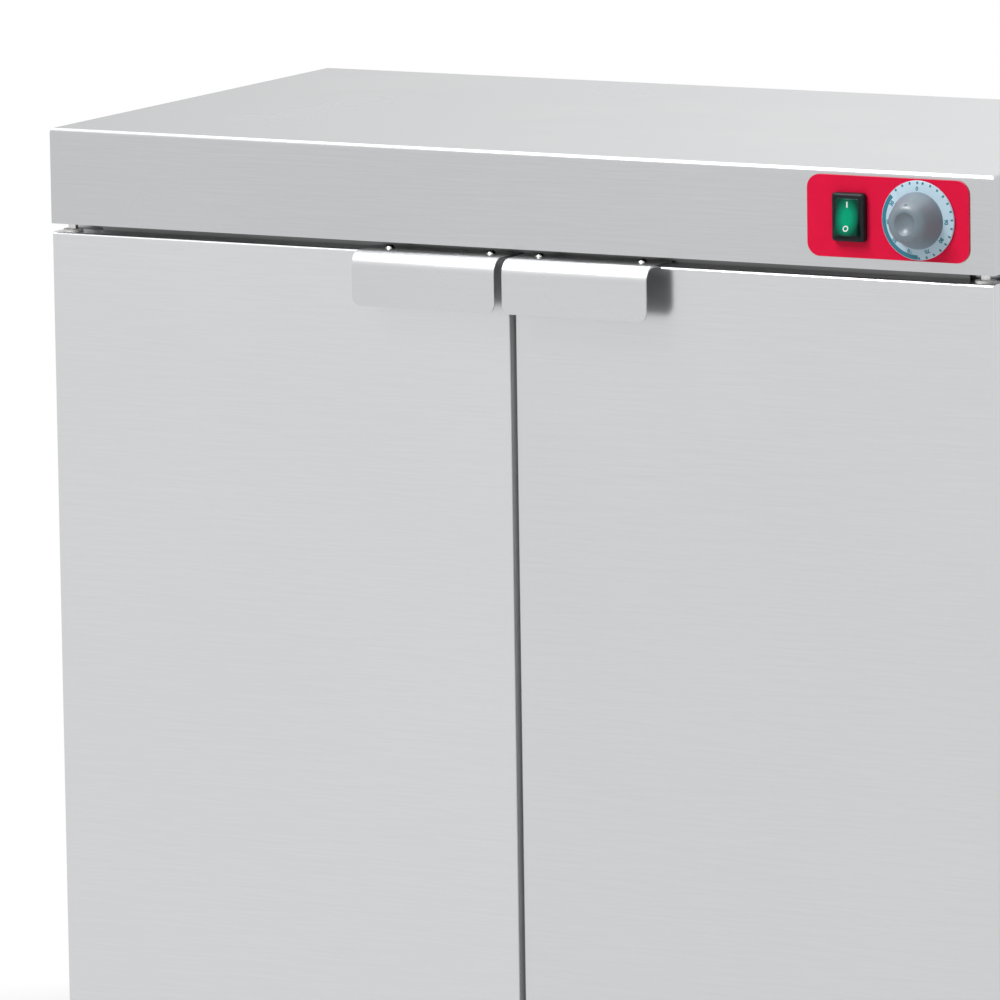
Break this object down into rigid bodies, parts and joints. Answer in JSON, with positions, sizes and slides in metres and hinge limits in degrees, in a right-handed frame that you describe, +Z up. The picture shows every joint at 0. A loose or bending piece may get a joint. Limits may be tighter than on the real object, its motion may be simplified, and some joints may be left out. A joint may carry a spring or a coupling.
{
  "type": "hot cupboard",
  "caption": "Free-standing stainless hot cupboard: flat worktop, deep apron with switch and thermostat knob, swing doors with hooked sheet handles, heated shelved chamber.",
  "frame": {"origin": "on the floor under the middle of the whole object", "axes": "+X to the right seen from the front, +Y towards the back, +Z up; the doors face -Y"},
  "size_m": [0.85, 0.507, 0.85],
  "materials": {
    "stainless": "satin brushed stainless sheet",
    "inner_stainless": "mill-finish stainless sheet",
    "bright_steel": "bright plated steel",
    "mineral_wool": "mineral wool slab",
    "heater_sheath": "heat-darkened metal sheath",
    "copper": "plain copper tube",
    "cream_plastic": "moulded cream plastic",
    "knob_plastic": "satin blue-grey moulding",
    "dial_face": "pale satin dial with printed marks",
    "red_plate": "glossy red plate",
    "black_plastic": "moulded black plastic",
    "green_lens": "clear green lens, lit from inside",
    "wire_sleeve": "glass-silicone sleeve",
    "nylon": "white nylon"
  },
  "bodies": {
    "cabinet": {"worktop": "stainless", "side_panel_left": "stainless", "side_panel_right": "stainless", "back_panel": "stainless", "legs": "stainless", "worktop_stiffeners": "inner_stainless", "base_panel": "inner_stainless", "top_deck": "inner_stainless", "liner_left": "inner_stainless", "liner_right": "inner_stainless", "liner_back": "inner_stainless", "liner_top": "inner_stainless", "liner_floor": "inner_stainless", "element_supports": "inner_stainless", "baffle_plate": "inner_stainless", "shelf_rail_left": "inner_stainless", "shelf_rail_right": "inner_stainless", "back_screws": "bright_steel", "shelf": "bright_steel", "top_pivot_left": "bright_steel", "top_pivot_right": "bright_steel", "bottom_pivot_left": "bright_steel", "bottom_pivot_right": "bright_steel", "pivot_screws": "bright_steel", "leg_bolts": "bright_steel", "insulation_slabs": "mineral_wool", "heating_element": "heater_sheath", "sensor_bulb": "copper", "thermostat_body": "cream_plastic", "terminal_block": "cream_plastic", "control_plate": "red_plate", "switch_housing": "black_plastic", "cable_gland": "black_plastic", "gland_locknut": "black_plastic", "wiring": "wire_sleeve", "magnet_catches": "nylon"},
    "left_door": {"door_skin_left": "stainless", "door_liner_left": "inner_stainless", "door_core_left": "mineral_wool", "handle_left": "stainless", "handle_screws_left": "bright_steel", "door_bushes_left": "nylon", "strike_plate_left": "bright_steel"},
    "right_door": {"door_skin_right": "stainless", "door_liner_right": "inner_stainless", "door_core_right": "mineral_wool", "handle_right": "stainless", "handle_screws_right": "bright_steel", "door_bushes_right": "nylon", "strike_plate_right": "bright_steel"},
    "rocker": {"switch_rocker": "green_lens"},
    "thermostat_knob": {"knob": "knob_plastic", "knob_skirt": "dial_face", "thermostat_shaft": "bright_steel"},
    "front_left_foot": {"foot_front_left": "black_plastic"},
    "front_right_foot": {"foot_front_right": "black_plastic"},
    "rear_left_foot": {"foot_rear_left": "black_plastic"},
    "rear_right_foot": {"foot_rear_right": "black_plastic"}
  },
  "joints": [
    {"name": "left_door_hinge", "type": "hinge", "parent": "cabinet", "child": "left_door", "pos_m": [-0.4115, -0.2145, 0.43575], "axis": [0, 0, -1], "range_deg": [0, 120]},
    {"name": "right_door_hinge", "type": "hinge", "parent": "cabinet", "child": "right_door", "pos_m": [0.4115, -0.2145, 0.43575], "axis": [0, 0, 1], "range_deg": [0, 120]},
    {"name": "rocker_tilt", "type": "hinge", "parent": "cabinet", "child": "rocker", "pos_m": [0.302, -0.2305, 0.81225], "axis": [1, 0, 0], "range_deg": [0, 18]},
    {"name": "knob_turn", "type": "hinge", "parent": "cabinet", "child": "thermostat_knob", "pos_m": [0.361, -0.2265, 0.81225], "axis": [0, 1, 0], "range_deg": [0, 270]},
    {"name": "front_left_foot_screw", "type": "slide", "parent": "cabinet", "child": "front_left_foot", "axis": [0, 0, -1], "range_m": [0, 0.03]},
    {"name": "front_right_foot_screw", "type": "slide", "parent": "cabinet", "child": "front_right_foot", "axis": [0, 0, -1], "range_m": [0, 0.03]},
    {"name": "rear_left_foot_screw", "type": "slide", "parent": "cabinet", "child": "rear_left_foot", "axis": [0, 0, -1], "range_m": [0, 0.03]},
    {"name": "rear_right_foot_screw", "type": "slide", "parent": "cabinet", "child": "rear_right_foot", "axis": [0, 0, -1], "range_m": [0, 0.03]}
  ]
}
